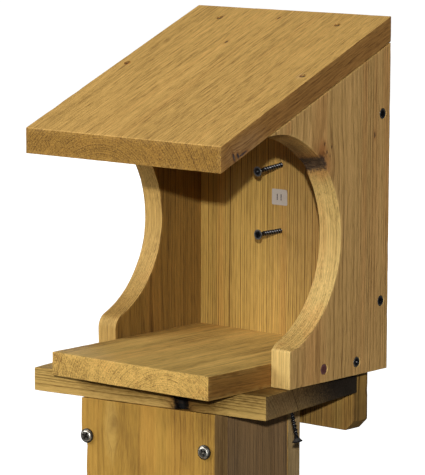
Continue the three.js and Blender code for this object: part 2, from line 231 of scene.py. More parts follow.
class Shader:
    """A material whose node tree grows by short calls. Values may be numbers or sockets."""

    def __init__(self, name):
        self.material = bpy.data.materials.new(name)
        self.material.use_nodes = True
        self.tree = self.material.node_tree
        self.tree.nodes.clear()
        self.surface = self.add("ShaderNodeBsdfPrincipled")
        output = self.add("ShaderNodeOutputMaterial")
        self.tree.links.new(self.surface.outputs[0], output.inputs["Surface"])

    def add(self, kind, **settings):
        node = self.tree.nodes.new(kind)
        for key, value in settings.items():
            setattr(node, key, value)
        return node

    def feed(self, socket, value):
        if isinstance(value, bpy.types.NodeSocket):
            self.tree.links.new(value, socket)
        elif isinstance(value, (tuple, list)) and len(value) == 3 and socket.type == "RGBA":
            socket.default_value = (*value, 1)
        else:
            socket.default_value = value

    def math(self, operation, *values):
        node = self.add("ShaderNodeMath", operation=operation)
        for socket, value in zip(node.inputs, values):
            self.feed(socket, value)
        return node.outputs[0]

    def vector(self, operation, a, b=None):
        node = self.add("ShaderNodeVectorMath", operation=operation)
        self.feed(node.inputs[0], a)
        if operation == "SCALE":
            self.feed(node.inputs["Scale"], b)
        elif b is not None:
            self.feed(node.inputs[1], b)
        scalar = operation in ("LENGTH", "DOT_PRODUCT")
        return node.outputs["Value" if scalar else "Vector"]

    def split(self, vector):
        node = self.add("ShaderNodeSeparateXYZ")
        self.feed(node.inputs[0], vector)
        return node.outputs

    def noise(self, at, detail=2.0, roughness=0.5, colour=False):
        node = self.add("ShaderNodeTexNoise", noise_dimensions="3D", normalize=True)
        self.feed(node.inputs["Vector"], at)
        node.inputs["Scale"].default_value = 1.0
        node.inputs["Detail"].default_value = detail
        node.inputs["Roughness"].default_value = roughness
        return node.outputs["Color" if colour else "Fac"]

    def noise_1d(self, at, detail=1.0):
        node = self.add("ShaderNodeTexNoise", noise_dimensions="1D", normalize=True)
        self.feed(node.inputs["W"], at)
        node.inputs["Scale"].default_value = 1.0
        node.inputs["Detail"].default_value = detail
        return node.outputs["Fac"]

    def step(self, value, low, high):
        """0 below low, 1 above high, smooth between."""
        node = self.add("ShaderNodeMapRange", interpolation_type="SMOOTHSTEP")
        self.feed(node.inputs["Value"], value)
        self.feed(node.inputs["From Min"], low)
        self.feed(node.inputs["From Max"], high)
        return node.outputs["Result"]

    def curve(self, value, *stops):
        """A grey ramp through (position, level) stops."""
        node = self.add("ShaderNodeValToRGB")
        self.feed(node.inputs[0], value)
        set_stops(node.color_ramp, [(at, (level, level, level)) for at, level in stops])
        return node.outputs["Color"]

    def ramp(self, value, *stops):
        """A colour ramp through (position, colour) stops."""
        node = self.add("ShaderNodeValToRGB")
        self.feed(node.inputs[0], value)
        set_stops(node.color_ramp, stops)
        return node.outputs["Color"]

    def blend(self, factor, a, b, mode="MIX"):
        node = self.add("ShaderNodeMix", data_type="RGBA", blend_type=mode)
        self.feed(node.inputs["Factor"], factor)
        self.feed(node.inputs[6], a)
        self.feed(node.inputs[7], b)
        return node.outputs[2]

    def bump(self, height, distance, strength):
        node = self.add("ShaderNodeBump")
        self.feed(node.inputs["Height"], height)
        node.inputs["Distance"].default_value = distance
        node.inputs["Strength"].default_value = strength
        return node.outputs["Normal"]


def set_stops(ramp, stops):
    elements = ramp.elements
    while len(elements) < len(stops):
        elements.new(0.5)
    for element, (at, colour) in zip(elements, stops):
        element.position = at
        element.color = (*colour, 1)


# ---- Cedar ---------------------------------------------------------------------------------


def wood_place(shader, place):
    """Millimetres in a board's own axes: across, through its thickness, along the grain."""
    coordinates = shader.add("ShaderNodeTexCoord").outputs["Object"]
    mapping = shader.add("ShaderNodeMapping", vector_type="TEXTURE")
    mapping.inputs["Location"].default_value = place.to_translation()
    mapping.inputs["Rotation"].default_value = place.to_quaternion().to_euler()
    mapping.inputs["Scale"].default_value = (MM, MM, MM)
    shader.feed(mapping.inputs["Vector"], coordinates)
    return mapping.outputs["Vector"]


def facing(shader, axis, low=0.55, both_ways=True):
    """1 where the surface faces along axis, and with both_ways also against it."""
    normal = shader.add("ShaderNodeNewGeometry").outputs["Normal"]
    share = shader.vector("DOT_PRODUCT", normal, tuple(axis))
    if both_ways:
        share = shader.math("ABSOLUTE", share)
    return shader.step(share, low, 0.9)


class Grain:
    """A board's place in its wood: its own millimetres, shifted by a seed of its own."""

    def __init__(self, shader, place, seed):
        self.shader = shader
        self.at = wood_place(shader, place)
        self.shift = (seed * 137.0, seed * 71.0, seed * 193.0)
        self.start = shader.vector("ADD", self.at, self.shift)

    def stretched(self, across, along, at=None):
        scale = (1 / across, 1 / across, 1 / along)
        return self.shader.vector("MULTIPLY", self.start if at is None else at, scale)


def round_knots(s, grain, knots):
    """Grain that flows round the knots, and how much of each point is knot and halo."""
    flow = grain.at
    core = halo = 0.0
    for centre, radius, reach, darkness in knots:
        away = s.vector("SUBTRACT", grain.at, centre)
        near = s.vector("LENGTH", s.vector("MULTIPLY", away, reach))
        squared = s.math("MAXIMUM", s.math("POWER", near, 2.0), radius * radius)
        pull = s.math("DIVIDE", radius * radius, squared)
        sideways = (1.0 if reach[0] else 0.0, 1.0 if reach[1] else 0.0, 0.0)
        shift = s.vector("SCALE", s.vector("MULTIPLY", away, sideways), pull)
        flow = s.vector("SUBTRACT", flow, shift)
        uneven = s.noise(grain.stretched(1.6, 3.0), 3.0)
        ragged = s.math("MULTIPLY_ADD", uneven, radius * 0.8, near)
        inside = s.math("SUBTRACT", 1.0, s.step(ragged, radius * 1.1, radius * 1.6))
        core = s.math("MAXIMUM", core, s.math("MULTIPLY", inside, darkness))
        around = s.math("SUBTRACT", 1.0, s.step(ragged, radius * 1.2, radius * 3.4))
        halo = s.math("MAXIMUM", halo, s.math("MULTIPLY", around, darkness * 0.6))
    return flow, core, halo


def wandering(s, grain, flow, wander):
    """Grain that also drifts along the board, slowly and quickly."""
    middle = (0.5, 0.5, 0.5)
    slow = s.vector("SUBTRACT", s.noise(grain.stretched(75, 260), 1.0, colour=True), middle)
    quick = s.vector("SUBTRACT", s.noise(grain.stretched(9, 70), 1.0, colour=True), middle)
    flow = s.vector("ADD", flow, s.vector("SCALE", slow, wander * 2))
    return s.vector("ADD", flow, s.vector("SCALE", quick, 1.3))


def late_wood(s, flow, pith, ring):
    """The dark part of the growth rings round the pith, of uneven width and strength."""
    from_pith = s.vector("MULTIPLY", s.vector("SUBTRACT", flow, (*pith, 0)), (1, 1, 0))
    radius = s.vector("LENGTH", from_pith)
    uneven = s.noise_1d(s.math("DIVIDE", radius, ring * 3.5), 2.0)
    rings = s.math("MULTIPLY_ADD", uneven, 2.6, s.math("DIVIDE", radius, ring))
    share = s.math("FRACT", rings)
    late = s.curve(share, (0, 0.0), (0.4, 0.12), (0.82, 1.0), (0.93, 0.85), (1, 0.02))
    strength = s.noise_1d(s.math("MULTIPLY", s.math("FLOOR", rings), 7.31), 0.0)
    return s.math("MULTIPLY", late, s.math("MULTIPLY_ADD", strength, 1.1, 0.3))


def darkened(s, grain, colour, core, halo, knots, stains):
    """Knots, real stain marks, and patches of painted shade, shadow and sheen over the plain wood.
    """
    if knots:
        rings = s.noise(s.vector("MULTIPLY", grain.start, (0.9, 0.16, 1.1)), 3.0, 0.7)
        knot_colour = s.ramp(rings, (0.35, (0.13, 0.085, 0.05)), (0.6, (0.02, 0.01, 0.009)))
        colour = s.blend(halo, colour, (0.62, 0.44, 0.36), "MULTIPLY")
        colour = s.blend(core, colour, knot_colour)
    # Patches: real stain marks, and also painted shade, painted shadow and painted sheen.
    for centre, radius, reach, tint in stains:
        away = s.vector("MULTIPLY", s.vector("SUBTRACT", grain.at, centre), reach)
        uneven = s.noise(grain.stretched(1.2, 6), 3.0)
        ragged = s.math("MULTIPLY_ADD", uneven, radius, s.vector("LENGTH", away))
        inside = s.math("SUBTRACT", 1.0, s.step(ragged, radius * 0.9, radius * 2.0))
        colour = s.blend(inside, colour, tint, "MULTIPLY")
    return colour


def cedar(name, place, seed, tones, pith, ring=2.4, ring_share=0.25, streak=0.5, fibre=0.35,
          fleck=0.5, band=0.3, patch=0.35, red=0.15, end=(0.8, 0.74, 0.66), end_ring=0.5,
          speckle=0.8, wander=3.0, knots=(), stains=(), browned=(), grey=0.0, gloss=0.3):
    """Solid cedar. tones are its light, middle and dark colours, and pith is the tree's
    middle in the board's axes. knots are (centre, radius, reach, darkness), with reach the
    share of each axis that counts as distance. The patches of (centre, radius, reach, colour)
    are real stain marks and also painted shade, painted shadow and painted sheen. The
    (direction, colour) pairs multiply the faces turned that way: painted shade on faces
    turned to +X and on the right scoop's downward cut face, and on the sleeve's right edges
    their own greyer tone."""
    s = Shader(name)
    grain = Grain(s, place, seed)
    flow, core, halo = round_knots(s, grain, knots)
    flow = wandering(s, grain, flow, wander)
    late = late_wood(s, flow, pith, ring)

    # Fibres, streaks and bands along the grain, and patches across it.
    flow = s.vector("ADD", flow, grain.shift)
    fine = s.noise(grain.stretched(0.9, 15, flow), 3.0, 0.62)
    streaks = s.noise(grain.stretched(1.9, 48, flow), 3.0, 0.65)
    bands = s.noise(grain.stretched(9, 320, flow), 2.0)
    patches = s.noise(grain.stretched(38, 95), 3.0, 0.55)
    dashes = s.noise(grain.stretched(1.1, 9, flow), 1.0)
    dark_dash = s.step(dashes, 0.54, 0.7)
    pale_dash = s.step(s.math("SUBTRACT", 1.0, dashes), 0.54, 0.7)

    # One value, from light to dark, with stronger rings and pores on the sawn ends.
    end_speckle = s.noise(s.vector("SCALE", grain.start, 0.75), 3.0, 0.75)
    at_end = facing(s, place.col[2].to_3d().normalized())
    ring_weight = s.math("MULTIPLY_ADD", at_end, end_ring - ring_share, ring_share)
    value = s.math("MULTIPLY_ADD", late, ring_weight, 0.5 - 0.42 * ring_share)
    pores = s.math("MULTIPLY", at_end, speckle)
    pores = s.math("MULTIPLY", s.math("SUBTRACT", end_speckle, 0.5), pores)
    value = s.math("ADD", value, pores)
    for part, weight in ((streaks, streak), (fine, fibre), (bands, band), (patches, patch)):
        value = s.math("MULTIPLY_ADD", s.math("SUBTRACT", part, 0.5), weight, value)
    value = s.math("MULTIPLY_ADD", dark_dash, 0.32 * fleck, value)
    value = s.math("MULTIPLY_ADD", pale_dash, -0.24 * fleck, value)
    light, middle, dark = tones
    colour = s.ramp(value, (0.0, light), (0.5, middle), (1.0, dark))

    reddened = s.step(s.noise(grain.stretched(14, 420, flow), 1.0), 0.5, 0.72)
    reddened = s.math("MULTIPLY", reddened, red)
    colour = s.blend(reddened, colour, (1.0, 0.72, 0.62), "MULTIPLY")
    if grey:
        colour = s.blend(s.math("MULTIPLY", patches, grey), colour, (0.3, 0.27, 0.24))
    colour = s.blend(at_end, colour, end, "MULTIPLY")
    # Faces turned one way are multiplied by a tint: painted shade, except on the sleeve's right
    # edges, where it is their greyer tone.
    for axis, tint in browned:
        colour = s.blend(facing(s, axis, 0.6, both_ways=False), colour, tint, "MULTIPLY")

    # Worn arrises are a little paler: wear, and also a painted highlight where light catches them.
    worn = s.add("ShaderNodeAttribute", attribute_name="wear").outputs["Fac"]
    worn = s.math("MULTIPLY", worn, s.step(s.noise(grain.stretched(3, 9), 2.0), 0.35, 0.6))
    pale = tuple(min(1.0, channel * 1.12) for channel in light)
    colour = s.blend(s.math("MULTIPLY", worn, 0.12), colour, pale)
    colour = darkened(s, grain, colour, core, halo, knots, stains)
    s.feed(s.surface.inputs["Base Color"], colour)

    rough = s.math("MULTIPLY_ADD", streaks, 0.22, s.math("MULTIPLY_ADD", late, -0.06, 0.56))
    s.feed(s.surface.inputs["Roughness"], rough)
    s.surface.inputs["Specular IOR Level"].default_value = gloss

    height = s.math("MULTIPLY", late, 0.35)
    for part, weight in ((fine, 0.9), (streaks, 0.8), (dark_dash, -0.5), (core, -0.6)):
        height = s.math("MULTIPLY_ADD", part, weight, height)
    s.feed(s.surface.inputs["Normal"], s.bump(height, 0.00028, 0.9))
    return s.material


# ---- Boards --------------------------------------------------------------------------------


def axes(origin, *columns):
    """The matrix with these columns, placed at origin."""
    matrix = Matrix.Identity(4)
    for i, column in enumerate(columns):
        for j in range(3):
            matrix[j][i] = column[j]
    matrix.translation = origin
    return matrix


def placed(origin, across, through, along):
    """The matrix from a board's own millimetres to the frame's metres."""
    return axes(origin, *(Vector(v) * MM for v in (across, through, along)))


def steps(length, *marks, cell=None):
    """Positions from 0 to length, about a cell apart, with one at each mark."""
    ends = sorted({0.0, length, *marks})
    cell = cell or CELL
    out = [0.0]
    for a, b in zip(ends, ends[1:]):
        n = max(1, round((b - a) / cell))
        out += [a + (b - a) * (i + 1) / n for i in range(n)]
    return out


def block(xs, ys, zs, shape=None):
    """The closed surface of a block divided at xs, ys and zs, each point moved by shape."""
    bm = bmesh.new()
    bm.verts.layers.float.new("wear")
    made = {}

    def corner(i, j, k):
        if (i, j, k) not in made:
            point = (xs[i], ys[j], zs[k])
            made[i, j, k] = bm.verts.new(shape(*point) if shape else point)
        return made[i, j, k]

    nx, ny, nz = len(xs) - 1, len(ys) - 1, len(zs) - 1
    for i in range(nx):
        for j in range(ny):
            for k in (0, nz):
                bm.faces.new([corner(i, j, k), corner(i + 1, j, k),
                              corner(i + 1, j + 1, k), corner(i, j + 1, k)])
    for i in range(nx):
        for k in range(nz):
            for j in (0, ny):
                bm.faces.new([corner(i, j, k), corner(i + 1, j, k),
                              corner(i + 1, j, k + 1), corner(i, j, k + 1)])
    for j in range(ny):
        for k in range(nz):
            for i in (0, nx):
                bm.faces.new([corner(i, j, k), corner(i, j + 1, k),
                              corner(i, j + 1, k + 1), corner(i, j, k + 1)])
    bmesh.ops.recalc_face_normals(bm, faces=bm.faces)
    return bm


def ripple(points, wavelength, seed, waves=7):
    """A smooth random field, mostly between -1 and 1, at each point."""
    draw = random.Random(seed)
    total = np.zeros(len(points))
    for _ in range(waves):
        way = Vector([draw.gauss(0, 1) for _ in range(3)]).normalized()
        wave = 2 * math.pi / (wavelength * draw.uniform(0.7, 1.5))
        total += np.sin(points @ np.array(way) * wave + draw.uniform(0, 2 * math.pi))
    return total / math.sqrt(waves)


def eased(bm):
    """Rounds every arris, and returns which points lie on one."""
    bm.normal_update()
    arrises = [e for e in bm.edges if e.calc_face_angle(0) > SHARP]
    done = bmesh.ops.bevel(
        bm, geom=arrises, offset=EASE, segments=2, profile=0.5, affect="EDGES",
        clamp_overlap=False)
    bm.normal_update()
    return {v for f in done["faces"] for v in f.verts}


def weathered(bm, on_arris, seed, dents=()):
    """Moves the surface inwards a little, unevenly, and more along the arrises."""
    layer = bm.verts.layers.float["wear"]
    verts = list(bm.verts)
    points = np.array([v.co for v in verts])
    normals = np.array([v.normal for v in verts])
    depth = HOLLOW * (0.5 + 0.5 * np.clip(ripple(points, 90, seed), -1, 1))
    rub = np.clip(ripple(points, 22, seed + 1) + 0.6 * ripple(points, 6, seed + 2) - 0.1, 0, 2)
    edge = np.array([v in on_arris for v in verts], float)
    depth += edge * WEAR * rub
    for centre, radius, deep in dents:
        away = np.linalg.norm((points - np.array(centre)) / np.array(radius), axis=1)
        depth += deep * np.exp(-away ** 2)
    points -= normals * depth[:, None]
    for v, point, e in zip(verts, points, edge):
        v.co = point
        v[layer] = e


def to_object(name, bm, place=None):
    mesh = bpy.data.meshes.new(name)
    if place is not None:
        bm.transform(place)
    bmesh.ops.recalc_face_normals(bm, faces=bm.faces)
    bm.to_mesh(mesh)
    bm.free()
    piece = bpy.data.objects.new(name, mesh)
    bpy.context.scene.collection.objects.link(piece)
    return piece


def cutter_mesh(name, bm):
    bmesh.ops.recalc_face_normals(bm, faces=bm.faces)
    mesh = bpy.data.meshes.new(name)
    bm.to_mesh(mesh)
    bm.free()
    return mesh


def lofted(levels):
    """A closed surface through outlines of as many points each, capped at both ends."""
    bm = bmesh.new()
    rings = [[bm.verts.new(point) for point in level] for level in levels]
    for a, b in zip(rings, rings[1:]):
        for i in range(len(a)):
            j = (i + 1) % len(a)
            bm.faces.new([a[i], a[j], b[j], b[i]])
    bm.faces.new(rings[0][::-1])
    bm.faces.new(rings[-1])
    return bm


def cut(piece, cutters):
    """Takes the cutters' shapes out of the piece."""
    joined = bmesh.new()
    for cutter in cutters:
        joined.from_mesh(cutter)
        bpy.data.meshes.remove(cutter)
    tool = to_object("cutter", joined)
    boolean = piece.modifiers.new("holes", "BOOLEAN")
    boolean.operation = "DIFFERENCE"
    boolean.solver = "EXACT"
    boolean.use_self = len(cutters) > 1
    boolean.object = tool
    bpy.context.view_layer.update()
    depsgraph = bpy.context.evaluated_depsgraph_get()
    mesh = bpy.data.meshes.new_from_object(piece.evaluated_get(depsgraph))
    old = piece.data
    piece.modifiers.clear()
    piece.data = mesh
    mesh.name = piece.name
    bpy.data.meshes.remove(old)
    bpy.data.objects.remove(tool)


def finish_surface(piece, material, angle=38, weighted=True):
    mesh = piece.data
    mesh.materials.clear()
    mesh.materials.append(material)
    mesh.shade_smooth()
    mesh.set_sharp_from_angle(angle=math.radians(angle))
    if weighted:
        weights = piece.modifiers.new("face_weights", "WEIGHTED_NORMAL")
        weights.keep_sharp = True


def stand_for(piece, node):
    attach(piece, "root")
    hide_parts(node)


# ---- Screws ---------------------------------------------------------------------------------

FLAT = dict(head=4.1, rim=0.45, height=2.9, core=1.15, crest=2.1, pitch=3.0, recess=2.4)
TRIM = dict(head=2.2, rim=0.35, height=2.2, core=1.05, crest=1.45, pitch=1.9, recess=1.25)
PAN = dict(head=5.8, rim=1.4, height=3.2, core=1.5, crest=2.05, pitch=2.2, recess=3.2)


def head_rows(kind):
    """Half the head's outline as (radius, depth below its top)."""
    head, rim, height, crest = kind["head"], kind["rim"], kind["height"], kind["crest"]
    if kind is PAN:
        return [
            (head * 0.3, 0.0), (head * 0.56, 0.06), (head * 0.66, 0.2), (head * 0.74, 0.5),
            (head * 0.78, 0.95), (head * 0.8, 1.2), (head * 0.9, 1.32), (head * 0.97, 1.5),
            (head, 1.8), (head, height - 0.3), (head - 0.25, height), (crest * 1.02, height),
        ]
    return [
        (head * 0.55, 0.0), (head * 0.9, 0.0), (head - 0.12, 0.03), (head, 0.16), (head, rim),
        (head * 0.8, rim + (height - rim) * 0.33), (crest * 1.05, height),
    ]


def turned(rows, around, ridge=None):
    """A closed turned surface through (radius, depth) rows, with a point at either end."""
    bm = bmesh.new()
    rings = []
    for radius, depth in rows:
        ring = []
        for i in range(around):
            angle = 2 * math.pi * i / around
            r = radius + (ridge(angle, depth) if ridge else 0.0)
            ring.append(bm.verts.new((r * math.cos(angle), r * math.sin(angle), depth)))
        rings.append(ring)
    first = bm.verts.new((0, 0, rows[0][1]))
    last = bm.verts.new((0, 0, rows[-1][1] + 0.4 * rows[-1][0]))
    for i in range(around):
        j = (i + 1) % around
        bm.faces.new([first, rings[0][i], rings[0][j]])
        bm.faces.new([last, rings[-1][j], rings[-1][i]])
        for a, b in zip(rings, rings[1:]):
            bm.faces.new([a[i], b[i], b[j], a[j]])
    bmesh.ops.recalc_face_normals(bm, faces=bm.faces)
    return bm


def round_about(values, angle):
    """The value, of those spread evenly over a turn, that is nearest to the angle."""
    return values[round(angle / (2 * math.pi) * len(values)) % len(values)]


def recess_cutter(kind):
    """A cross that narrows as it goes down."""
    long, short = kind["recess"], kind["recess"] * 0.23
    deep = kind["recess"] * 0.85
    outline = [(long, -short), (long, short), (short, short), (short, long),
               (-short, long), (-short, short), (-long, short), (-long, -short),
               (-short, -short), (-short, -long), (short, -long), (short, -short)]
    levels = []
    for depth, scale in ((-0.6, 1.08), (0.15, 1.0), (deep * 0.75, 0.62), (deep, 0.3)):
        levels.append([(x * scale, y * scale, depth) for x, y in outline])
    return cutter_mesh("recess", lofted(levels))


def screw_mesh(kind, length, around, per_turn):
    """A screw with its head's top at the origin and its point along +Z."""
    core, crest, pitch = kind["core"], kind["crest"], kind["pitch"]
    thread_start = kind["height"] + 2.0
    taper = 7.0

    def ridge(angle, depth):
        if depth < thread_start:
            return 0.0
        rise = min(1.0, (depth - thread_start) / 2.0)
        fade = min(1.0, (length - depth) / (taper * 0.8))
        turn = (depth / pitch - angle / (2 * math.pi)) % 1.0
        shape = max(0.0, 1.0 - abs(turn - 0.5) / 0.27)
        return (crest - core) * min(1.0, shape * 1.15) * rise * max(0.0, fade) ** 0.5

    rows = head_rows(kind)
    shank = (crest + core) / 2
    rows.append((shank, kind["height"] + 0.4))
    rows.append((shank, thread_start - 0.4))
    depth = thread_start
    gap = pitch / per_turn
    while depth < length - 0.6:
        narrow = min(1.0, max(0.12, (length - depth) / taper))
        rows.append((core * narrow, depth))
        depth += gap
    rows.append((core * 0.1, length - 0.35))
    piece = to_object("screw", turned(rows, around, ridge))
    cut(piece, [recess_cutter(kind)])
    mesh = piece.data
    bpy.data.objects.remove(piece)
    return mesh


def screw_line(node, along):
    """The middle of a screw's head and its length, read off its CAD solid."""
    points = np.array([v.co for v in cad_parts[node].data.vertices])
    reach = points @ np.array(along)
    tip = Vector(points[int(reach.argmax())])
    length = float(reach.max() - reach.min())
    return tip - along * length, length / MM


def lay_along(at, along, spin):
    """The matrix that puts a screw's own axes at a place in the frame."""
    turn = Vector((0, 0, 1)).rotation_difference(along).to_matrix().to_4x4()
    return Matrix.Translation(at) @ turn @ Matrix.Rotation(spin, 4, "Z") @ Matrix.Scale(MM, 4)


def hole_cutter(kind, length, sink, matrix, seed):
    """What a board loses to a screw: its shank's hole and its head's seat, a little torn."""
    draw = random.Random(seed)
    shank = kind["crest"] + CLEARANCE
    head = kind["head"] + HOLE_ROUND
    rows = [(shank, length + 0.5), (shank, length * 0.5)]
    if kind is PAN:
        rows += [(shank, kind["height"] + 1), (shank, kind["height"] - 3)]
    else:
        rows += [(shank, kind["height"]), (head, kind["rim"]), (head, -sink * 0.5),
                 (head + 0.35, -sink - 0.1), (head + 0.6, -sink - 3)]
    tears = [draw.uniform(-0.16, 0.22) for _ in range(HOLE_SIDES)]

    def torn(angle, depth):
        return round_about(tears, angle) if depth < 0.1 else 0.0

    bm = turned(rows[::-1], HOLE_SIDES, torn if kind is not PAN else None)
    bm.transform(matrix)
    return cutter_mesh("hole", bm)


# Each screw: its kind, the way its shank points, and the boards it goes through.

INTO_ROOF = Vector((0, math.sin(ROOF_SLOPE), -math.cos(ROOF_SLOPE)))
BASE_X = Vector((math.cos(PLATE_TURN), math.sin(PLATE_TURN), 0))
BASE_Y = Vector((-math.sin(PLATE_TURN), math.cos(PLATE_TURN), 0))
UP = Vector((0, 0, 1))
DROOP = Vector((0, math.cos(WALL_SCREW_DROOP), math.sin(WALL_SCREW_DROOP)))
LEAN = Vector((*PLATE_SCREW_LEAN, 1)).normalized()
SUNK, TRIM_SUNK = 0.4, 1.2


def screw_list():
    screws = {
        "wall_screw_upper": (FLAT, DROOP, ["back_board"]),
        "wall_screw_lower": (FLAT, Vector((0, 1, 0)), ["back_board"]),
        "plate_screw_left": (FLAT, UP, ["mounting_plate", "left_side"]),
        "plate_screw_right": (FLAT, LEAN, ["mounting_plate", "right_side"]),
    }
    for word, sign in (("left", -1), ("right", 1)):
        side = f"{word}_side"
        inward = Vector((-sign, 0, 0))
        screws[f"roof_screw_{word}_front"] = (TRIM, INTO_ROOF, ["roof_board", side])
        screws[f"roof_screw_{word}_rear"] = (TRIM, INTO_ROOF, ["roof_board", "back_board"])
        for row in ("upper", "lower"):
            screws[f"{word}_back_screw_{row}"] = (FLAT, inward, [side, "back_board"])
        for end in ("front", "rear"):
            screws[f"{word}_floor_screw_{end}"] = (FLAT, inward, [side, "floor_board"])
            through = ["mounting_plate", f"sleeve_{end}_board"]
            screws[f"cap_screw_{word}_{end}"] = (FLAT, -UP, through)
        for row in ("upper", "lower"):
            for end, inward_y in (("front", BASE_Y), ("rear", -BASE_Y)):
                through = [f"sleeve_{end}_board", f"sleeve_{word}_board"]
                screws[f"sleeve_{end}_screw_{word}_{row}"] = (PAN, inward_y, through)
    return screws


SCREWS = screw_list()
STARTED = ("wall_screw_upper", "wall_screw_lower", "plate_screw_right")


def holes_in(node):
    """Cutters for every screw that goes through that board."""
    holes = []
    for seed, (screw, (kind, along, boards)) in enumerate(SCREWS.items()):
        if node not in boards:
            continue
        at, length = screw_line(screw, along)
        sink = TRIM_SUNK if kind is TRIM else SUNK
        holes.append(hole_cutter(kind, length, sink, lay_along(at, along, 0), seed))
    return holes


def mark_rims(mesh, kind):
    """Where a head and the thread's crests are painted bright: wear from driving and handling, and
    painted glints.
    """
    wear = mesh.attributes.new("wear", "FLOAT", "POINT")
    for vert, item in zip(mesh.vertices, wear.data):
        radius = math.hypot(vert.co.x, vert.co.y)
        if vert.co.z > kind["height"]:
            item.value = 0.7 * (radius > kind["crest"] * 0.92)
        elif kind is PAN and radius < kind["head"] * 0.64:
            item.value = 0.24 * (vert.co.z < 0.3)
        elif kind is PAN:
            item.value = radius < kind["head"] * 0.8
        else:
            item.value = kind["head"] * 0.76 < radius < kind["head"] * 0.99


def make_screws():
    black = black_steel()
    bronzed = bronzed_steel()
    rusty = rusty_steel()
    draw = random.Random(11)
    made = {}
    for node, (kind, along, _) in SCREWS.items():
        at, length = screw_line(node, along)
        shown = node in STARTED
        key = (kind["head"], round(length), shown)
        if key not in made:
            fine = (40, 12) if shown else (28, 6)
            made[key] = screw_mesh(kind, length, *fine)
            mark_rims(made[key], kind)
        mesh = made[key].copy()
        mesh.transform(lay_along(at, along, draw.uniform(0, 2 * math.pi)))
        piece = bpy.data.objects.new(f"{node}_steel", mesh)
        bpy.context.scene.collection.objects.link(piece)
        pan = kind is PAN
        steel = rusty if node == "right_floor_screw_front" else bronzed if pan else black
        finish_surface(piece, steel, 32, weighted=False)
        stand_for(piece, node)


def metal(name, dark, bright, base_rough, metallic, wear_and_glint_share):
    s = Shader(name)
    at = s.vector("SCALE", s.add("ShaderNodeTexCoord").outputs["Object"], 1000.0)
    grain = s.noise(s.vector("SCALE", at, 1.7), 3.0, 0.6)
    blotch = s.noise(s.vector("SCALE", at, 0.45), 2.0)
    worn = s.add("ShaderNodeAttribute", attribute_name="wear").outputs["Fac"]
    # Rims and crests are painted bright: wear, and painted glints.
    rubbed_and_glinting = s.math("MULTIPLY", worn, s.step(blotch, 0.22, 0.5))
    rubbed_and_glinting = s.math("MULTIPLY", rubbed_and_glinting, wear_and_glint_share)
    speck = s.math("MULTIPLY", s.step(grain, 0.55, 0.75), 0.25)
    colour = s.ramp(grain, (0.3, dark), (0.8, tuple(c * 2.0 for c in dark)))
    colour = s.blend(s.math("MAXIMUM", rubbed_and_glinting, speck), colour, bright)
    s.feed(s.surface.inputs["Base Color"], colour)
    s.feed(s.surface.inputs["Roughness"], s.math("MULTIPLY_ADD", grain, 0.22, base_rough))
    s.surface.inputs["Metallic"].default_value = metallic
    s.feed(s.surface.inputs["Normal"], s.bump(grain, 0.00006, 0.7))
    return s.material


def black_steel():
    return metal("black_phosphate", (0.014, 0.014, 0.016), (0.5, 0.48, 0.45), 0.2, 0.8, 0.5)


def rusty_steel():
    return metal("rusting_phosphate", (0.1, 0.035, 0.03), (0.3, 0.14, 0.13), 0.5, 0.3, 0.6)


def bronzed_steel():
    return metal("bronzed_steel", (0.05, 0.045, 0.036), (0.85, 0.82, 0.72), 0.26, 0.9, 1.0)


# ---- The boards, one by one -----------------------------------------------------------------


def tones(red, green, blue, light=1.4, dark=0.42):
    """Light, middle and dark of one wood; the dark is redder."""
    middle = (red, green, blue)
    pale = (min(1, red * light), min(1, green * light), min(1, blue * light * 1.1))
    return pale, middle, (red * dark, green * dark * 0.86, blue * dark * 0.76)


def board(node, place, bm, material, seed, cutters=(), dents=()):
    """Wears the block, takes its holes out and stands it in for its CAD solid."""
    on_arris = eased(bm)
    weathered(bm, on_arris, seed, dents)
    piece = to_object(f"{node}_wood", bm, place)
    cut(piece, [*holes_in(node), *cutters])
    finish_surface(piece, material)
    stand_for(piece, node)


def make_roof():
    low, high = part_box("roof_board")
    cos, sin, slant = math.cos(ROOF_SLOPE), math.sin(ROOF_SLOPE), math.tan(ROOF_SLOPE)
    place = placed((high.x, low.y, low.z), (-1, 0, 0), (0, -sin, cos), (0, cos, sin))
    width = (high.x - low.x) / MM
    reach = (high.y - low.y) / MM / cos
    bm = block(steps(width), steps(BOARD), steps(reach),
               lambda x, y, z: (x, y, z + y * slant))
    rust = ((189, 19, 124.5), 2.2, (1, 0, 0.8), (0.75, 0.42, 0.22))
    pale_seat = ((11, 19, 125), 3.4, (1, 0, 0.8), (1.12, 1.16, 1.5))
    pins = [((x, 19, z), 0.9, (1, 0, 0.4), 0.8) for x, z in ((122, 172), (160, 214), (103, 219))]
    cracks = [
        ((0, 4.6, 18), 0.8, (1, 0.24, 0.8), 1.0), ((0, 3.4, 23), 0.7, (1, 0.3, 0.6), 1.0),
        ((0, 2.2, 29), 0.7, (1, 0.8, 0.15), 0.9)]
    pink = ((0, 6, 32), 9.0, (1, 1, 0.4), (1.14, 1.26, 1.75))
    wood = cedar(
        "roof_cedar", place, seed=1, tones=tones(0.65, 0.385, 0.104), pith=(120, -50), ring=1.6,
        ring_share=0.12, streak=0.95, fibre=1.25, fleck=0.5, band=0.35, patch=0.3, red=0.1,
        end=(0.52, 0.46, 0.27), end_ring=0.4, speckle=1.4, stains=(rust, pale_seat, pink),
        knots=(*pins, *cracks),
        # The roof's right edge is darkened as painted shade.
        browned=(((1, 0, 0), (0.51, 0.41, 0.37)),))
    board("roof_board", place, bm, wood, 1)


